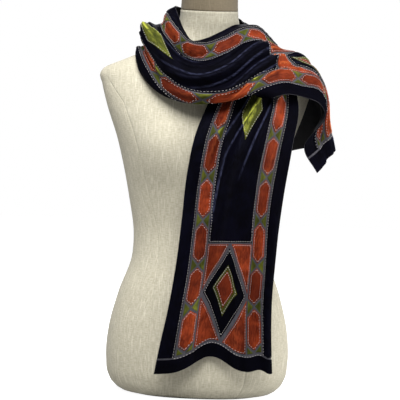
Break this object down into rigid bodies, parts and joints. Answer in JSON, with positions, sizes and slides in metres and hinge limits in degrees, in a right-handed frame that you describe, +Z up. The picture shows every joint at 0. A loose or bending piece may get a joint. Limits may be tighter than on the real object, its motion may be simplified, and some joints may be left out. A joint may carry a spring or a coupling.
{
  "type": "velvet scarf on a dress form",
  "caption": "Long velvet scarf wound round the neck of a limbless linen dress form, one end hanging in front and the other falling over a shoulder.",
  "frame": {"origin": "centre of the form's flat underside", "axes": "+Z up along the form, -Y towards the viewer, out of the chest, +X to the viewer's right"},
  "size_m": [0.4408, 0.279, 0.7622],
  "materials": {
    "linen": "natural linen, plain weave with slubs",
    "velvet": "silky pile velvet, near-black navy with rust and olive patches"
  },
  "bodies": {
    "root": {"form_torso": "linen", "form_neck_cap": "linen", "scarf_front_end": "velvet", "scarf_neck_back": "velvet", "scarf_front_wrap": "velvet", "scarf_shoulder_end": "velvet"}
  },
  "joints": []
}
